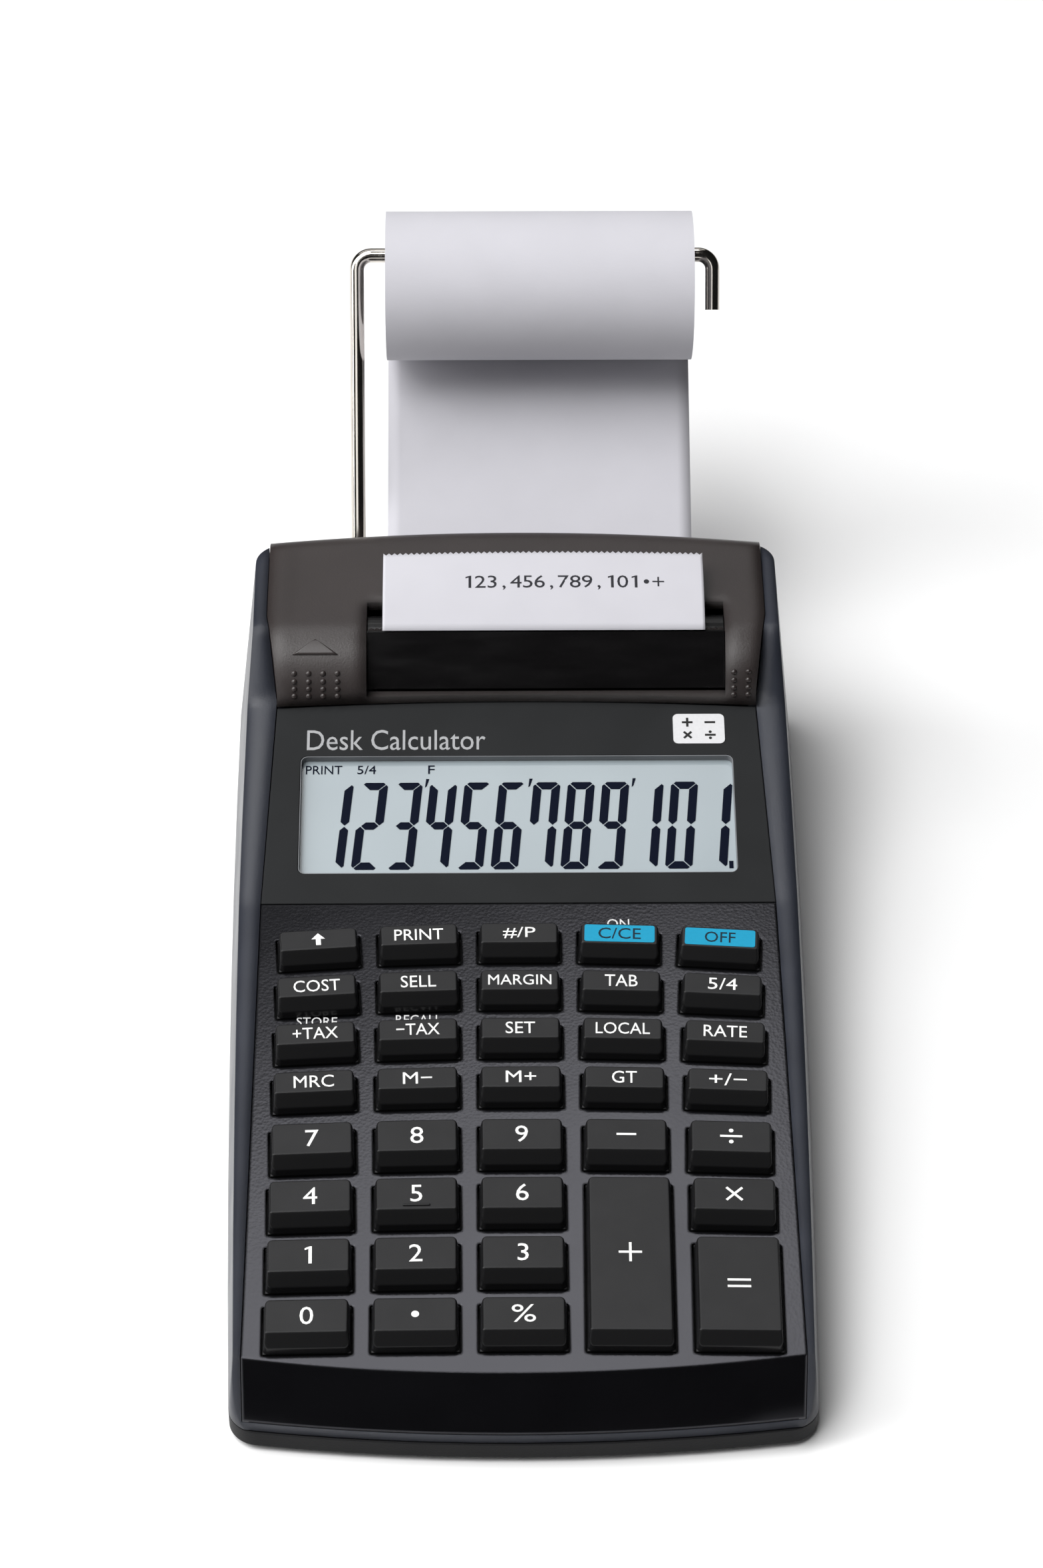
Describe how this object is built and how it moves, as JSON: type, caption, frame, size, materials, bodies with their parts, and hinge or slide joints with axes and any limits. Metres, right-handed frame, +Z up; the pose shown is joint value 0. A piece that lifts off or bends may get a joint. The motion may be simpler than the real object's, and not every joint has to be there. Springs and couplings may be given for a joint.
{
  "type": "desk printing calculator",
  "caption": "Wedge-shaped desk calculator with rows of sprung keys, a tilted display, a sliding printer cover, and a paper roll on a hinged wire holder.",
  "frame": {"origin": "middle of the whole object's box, on the desk plane under the rubber feet, paper roll included", "axes": "+Y from the front edge towards the paper roll, +Z up, +X towards the operator's right"},
  "size_m": [0.1032, 0.2394, 0.0791],
  "materials": {
    "tray": "fine grain, black-grey",
    "shell": "satin blue-grey",
    "deck": "leather grain, black-grey",
    "panel": "flat, black-grey",
    "display": "pale grey-green liquid crystal",
    "cover": "fine grain, brown-black",
    "key": "dark grey, matt on top, glossy sides",
    "smoked_plastic": "clear, smoked",
    "paper": "white paper",
    "wire": "bright nickel-plated",
    "cell_jacket": "printed jacket",
    "spring_steel": "nickel-plated steel",
    "rubber": "black rubber",
    "board": "green lacquer",
    "frame_plastic": "black moulded plastic",
    "ink_felt": "felt soaked in ink"
  },
  "bodies": {
    "case": {"lower_housing": "tray", "upper_housing": "shell", "key_deck": "deck", "display_panel": "panel", "lcd_module": "display", "case_screws": "spring_steel", "rubber_feet": "rubber", "main_board": "board", "key_mat": "rubber", "battery_cells": "cell_jacket", "battery_contacts": "spring_steel", "printer_frame": "frame_plastic", "adapter_socket": "frame_plastic", "paper_web": "paper"},
    "cover": {"printer_cover": "cover", "tear_bar": "smoked_plastic", "paper_tape": "paper"},
    "holder": {"paper_holder": "wire"},
    "roll": {"paper_roll": "paper"},
    "door": {"battery_door": "tray"},
    "feed_roller": {"feed_roller": "rubber"},
    "print_drum": {"print_drum": "frame_plastic"},
    "ink_roller": {"ink_roller": "ink_felt"},
    "key_zero": {"key_zero": "key"},
    "key_point": {"key_point": "key"},
    "key_percent": {"key_percent": "key"},
    "key_one": {"key_one": "key"},
    "key_two": {"key_two": "key"},
    "key_three": {"key_three": "key"},
    "key_equals": {"key_equals": "key"},
    "key_four": {"key_four": "key"},
    "key_five": {"key_five": "key"},
    "key_six": {"key_six": "key"},
    "key_plus": {"key_plus": "key"},
    "key_multiply": {"key_multiply": "key"},
    "key_seven": {"key_seven": "key"},
    "key_eight": {"key_eight": "key"},
    "key_nine": {"key_nine": "key"},
    "key_minus": {"key_minus": "key"},
    "key_divide": {"key_divide": "key"},
    "key_memory_recall": {"key_memory_recall": "key"},
    "key_memory_minus": {"key_memory_minus": "key"},
    "key_memory_plus": {"key_memory_plus": "key"},
    "key_grand_total": {"key_grand_total": "key"},
    "key_sign": {"key_sign": "key"},
    "key_tax_plus": {"key_tax_plus": "key"},
    "key_tax_minus": {"key_tax_minus": "key"},
    "key_set": {"key_set": "key"},
    "key_local": {"key_local": "key"},
    "key_rate": {"key_rate": "key"},
    "key_cost": {"key_cost": "key"},
    "key_sell": {"key_sell": "key"},
    "key_margin": {"key_margin": "key"},
    "key_tab": {"key_tab": "key"},
    "key_rounding": {"key_rounding": "key"},
    "key_feed": {"key_feed": "key"},
    "key_print": {"key_print": "key"},
    "key_date_print": {"key_date_print": "key"},
    "key_clear": {"key_clear": "key"},
    "key_power_off": {"key_power_off": "key"}
  },
  "joints": [
    {"name": "cover_slide", "type": "slide", "parent": "case", "child": "cover", "axis": [0, 1, 0], "range_m": [0, 0.012]},
    {"name": "holder_swing", "type": "hinge", "parent": "case", "child": "holder", "pos_m": [-0.0246, 0.0648, 0.012], "axis": [1, 0, 0], "range_deg": [-25, 15], "deforming": ["paper_web"]},
    {"name": "roll_spin", "type": "hinge", "parent": "holder", "child": "roll", "pos_m": [0.0049, 0.1058, 0.0652], "axis": [1, 0, 0], "continuous": true},
    {"name": "door_slide", "type": "slide", "parent": "case", "child": "door", "axis": [0, 1, 0], "range_m": [0, 0.006]},
    {"name": "feed_spin", "type": "hinge", "parent": "case", "child": "feed_roller", "pos_m": [0.0049, 0.0474, 0.027], "axis": [1, 0, 0], "continuous": true},
    {"name": "drum_spin", "type": "hinge", "parent": "case", "child": "print_drum", "pos_m": [0.0049, 0.0365, 0.027], "axis": [1, 0, 0], "continuous": true},
    {"name": "ink_spin", "type": "hinge", "parent": "case", "child": "ink_roller", "pos_m": [0.0049, 0.0268, 0.027], "axis": [1, 0, 0], "continuous": true},
    {"name": "zero_press", "type": "slide", "parent": "case", "child": "key_zero", "axis": [0, 0.0958, -0.9954], "range_m": [0, 0.0015], "stiffness_N_per_m": 350, "springref_m": -0.001},
    {"name": "point_press", "type": "slide", "parent": "case", "child": "key_point", "axis": [0, 0.0958, -0.9954], "range_m": [0, 0.0015], "stiffness_N_per_m": 350, "springref_m": -0.001},
    {"name": "percent_press", "type": "slide", "parent": "case", "child": "key_percent", "axis": [0, 0.0958, -0.9954], "range_m": [0, 0.0015], "stiffness_N_per_m": 350, "springref_m": -0.001},
    {"name": "one_press", "type": "slide", "parent": "case", "child": "key_one", "axis": [0, 0.0958, -0.9954], "range_m": [0, 0.0015], "stiffness_N_per_m": 350, "springref_m": -0.001},
    {"name": "two_press", "type": "slide", "parent": "case", "child": "key_two", "axis": [0, 0.0958, -0.9954], "range_m": [0, 0.0015], "stiffness_N_per_m": 350, "springref_m": -0.001},
    {"name": "three_press", "type": "slide", "parent": "case", "child": "key_three", "axis": [0, 0.0958, -0.9954], "range_m": [0, 0.0015], "stiffness_N_per_m": 350, "springref_m": -0.001},
    {"name": "equals_press", "type": "slide", "parent": "case", "child": "key_equals", "axis": [0, 0.0958, -0.9954], "range_m": [0, 0.0015], "stiffness_N_per_m": 350, "springref_m": -0.001},
    {"name": "four_press", "type": "slide", "parent": "case", "child": "key_four", "axis": [0, 0.0958, -0.9954], "range_m": [0, 0.0015], "stiffness_N_per_m": 350, "springref_m": -0.001},
    {"name": "five_press", "type": "slide", "parent": "case", "child": "key_five", "axis": [0, 0.0958, -0.9954], "range_m": [0, 0.0015], "stiffness_N_per_m": 350, "springref_m": -0.001},
    {"name": "six_press", "type": "slide", "parent": "case", "child": "key_six", "axis": [0, 0.0958, -0.9954], "range_m": [0, 0.0015], "stiffness_N_per_m": 350, "springref_m": -0.001},
    {"name": "plus_press", "type": "slide", "parent": "case", "child": "key_plus", "axis": [0, 0.0958, -0.9954], "range_m": [0, 0.0015], "stiffness_N_per_m": 350, "springref_m": -0.001},
    {"name": "multiply_press", "type": "slide", "parent": "case", "child": "key_multiply", "axis": [0, 0.0958, -0.9954], "range_m": [0, 0.0015], "stiffness_N_per_m": 350, "springref_m": -0.001},
    {"name": "seven_press", "type": "slide", "parent": "case", "child": "key_seven", "axis": [0, 0.0958, -0.9954], "range_m": [0, 0.0015], "stiffness_N_per_m": 350, "springref_m": -0.001},
    {"name": "eight_press", "type": "slide", "parent": "case", "child": "key_eight", "axis": [0, 0.0958, -0.9954], "range_m": [0, 0.0015], "stiffness_N_per_m": 350, "springref_m": -0.001},
    {"name": "nine_press", "type": "slide", "parent": "case", "child": "key_nine", "axis": [0, 0.0958, -0.9954], "range_m": [0, 0.0015], "stiffness_N_per_m": 350, "springref_m": -0.001},
    {"name": "minus_press", "type": "slide", "parent": "case", "child": "key_minus", "axis": [0, 0.0958, -0.9954], "range_m": [0, 0.0015], "stiffness_N_per_m": 350, "springref_m": -0.001},
    {"name": "divide_press", "type": "slide", "parent": "case", "child": "key_divide", "axis": [0, 0.0958, -0.9954], "range_m": [0, 0.0015], "stiffness_N_per_m": 350, "springref_m": -0.001},
    {"name": "memory_recall_press", "type": "slide", "parent": "case", "child": "key_memory_recall", "axis": [0, 0.0958, -0.9954], "range_m": [0, 0.0015], "stiffness_N_per_m": 350, "springref_m": -0.001},
    {"name": "memory_minus_press", "type": "slide", "parent": "case", "child": "key_memory_minus", "axis": [0, 0.0958, -0.9954], "range_m": [0, 0.0015], "stiffness_N_per_m": 350, "springref_m": -0.001},
    {"name": "memory_plus_press", "type": "slide", "parent": "case", "child": "key_memory_plus", "axis": [0, 0.0958, -0.9954], "range_m": [0, 0.0015], "stiffness_N_per_m": 350, "springref_m": -0.001},
    {"name": "grand_total_press", "type": "slide", "parent": "case", "child": "key_grand_total", "axis": [0, 0.0958, -0.9954], "range_m": [0, 0.0015], "stiffness_N_per_m": 350, "springref_m": -0.001},
    {"name": "sign_press", "type": "slide", "parent": "case", "child": "key_sign", "axis": [0, 0.0958, -0.9954], "range_m": [0, 0.0015], "stiffness_N_per_m": 350, "springref_m": -0.001},
    {"name": "tax_plus_press", "type": "slide", "parent": "case", "child": "key_tax_plus", "axis": [0, 0.0958, -0.9954], "range_m": [0, 0.0015], "stiffness_N_per_m": 350, "springref_m": -0.001},
    {"name": "tax_minus_press", "type": "slide", "parent": "case", "child": "key_tax_minus", "axis": [0, 0.0958, -0.9954], "range_m": [0, 0.0015], "stiffness_N_per_m": 350, "springref_m": -0.001},
    {"name": "set_press", "type": "slide", "parent": "case", "child": "key_set", "axis": [0, 0.0958, -0.9954], "range_m": [0, 0.0015], "stiffness_N_per_m": 350, "springref_m": -0.001},
    {"name": "local_press", "type": "slide", "parent": "case", "child": "key_local", "axis": [0, 0.0958, -0.9954], "range_m": [0, 0.0015], "stiffness_N_per_m": 350, "springref_m": -0.001},
    {"name": "rate_press", "type": "slide", "parent": "case", "child": "key_rate", "axis": [0, 0.0958, -0.9954], "range_m": [0, 0.0015], "stiffness_N_per_m": 350, "springref_m": -0.001},
    {"name": "cost_press", "type": "slide", "parent": "case", "child": "key_cost", "axis": [0, 0.0958, -0.9954], "range_m": [0, 0.0015], "stiffness_N_per_m": 350, "springref_m": -0.001},
    {"name": "sell_press", "type": "slide", "parent": "case", "child": "key_sell", "axis": [0, 0.0958, -0.9954], "range_m": [0, 0.0015], "stiffness_N_per_m": 350, "springref_m": -0.001},
    {"name": "margin_press", "type": "slide", "parent": "case", "child": "key_margin", "axis": [0, 0.0958, -0.9954], "range_m": [0, 0.0015], "stiffness_N_per_m": 350, "springref_m": -0.001},
    {"name": "tab_press", "type": "slide", "parent": "case", "child": "key_tab", "axis": [0, 0.0958, -0.9954], "range_m": [0, 0.0015], "stiffness_N_per_m": 350, "springref_m": -0.001},
    {"name": "rounding_press", "type": "slide", "parent": "case", "child": "key_rounding", "axis": [0, 0.0958, -0.9954], "range_m": [0, 0.0015], "stiffness_N_per_m": 350, "springref_m": -0.001},
    {"name": "feed_press", "type": "slide", "parent": "case", "child": "key_feed", "axis": [0, 0.0958, -0.9954], "range_m": [0, 0.0015], "stiffness_N_per_m": 350, "springref_m": -0.001},
    {"name": "print_press", "type": "slide", "parent": "case", "child": "key_print", "axis": [0, 0.0958, -0.9954], "range_m": [0, 0.0015], "stiffness_N_per_m": 350, "springref_m": -0.001},
    {"name": "date_print_press", "type": "slide", "parent": "case", "child": "key_date_print", "axis": [0, 0.0958, -0.9954], "range_m": [0, 0.0015], "stiffness_N_per_m": 350, "springref_m": -0.001},
    {"name": "clear_press", "type": "slide", "parent": "case", "child": "key_clear", "axis": [0, 0.0958, -0.9954], "range_m": [0, 0.0015], "stiffness_N_per_m": 350, "springref_m": -0.001},
    {"name": "power_off_press", "type": "slide", "parent": "case", "child": "key_power_off", "axis": [0, 0.0958, -0.9954], "range_m": [0, 0.0015], "stiffness_N_per_m": 350, "springref_m": -0.001}
  ]
}
